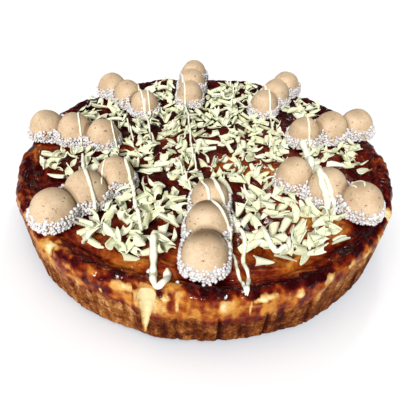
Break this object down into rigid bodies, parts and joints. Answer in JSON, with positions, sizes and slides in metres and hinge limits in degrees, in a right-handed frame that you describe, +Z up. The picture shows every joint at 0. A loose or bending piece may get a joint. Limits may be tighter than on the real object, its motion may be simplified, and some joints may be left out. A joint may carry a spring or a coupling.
{
  "type": "jiggly cheesecake",
  "caption": "Whole round baked cheesecake with a browned, split crust, topped with three-domed filled wafers in sugar nibs, white chocolate curls and drizzle.",
  "frame": {"origin": "centre of the cake's flat base, on the surface it stands on", "axes": "+Z up along the cake's axis; -Y towards the side the picture was taken from, with the wide pale split; +X to that view's right"},
  "size_m": [0.2865, 0.2892, 0.0661],
  "materials": {
    "baked_cheesecake": "browned, part glossy baked crust",
    "wafer": "matte baked wafer"
  },
  "bodies": {
    "root": {"cheesecake": "baked_cheesecake", "wafer_front": "wafer", "wafer_front_right": "wafer", "wafer_right": "wafer", "wafer_back_right": "wafer", "wafer_back": "wafer", "wafer_back_left": "wafer", "wafer_left": "wafer", "wafer_front_left": "wafer"}
  },
  "joints": []
}
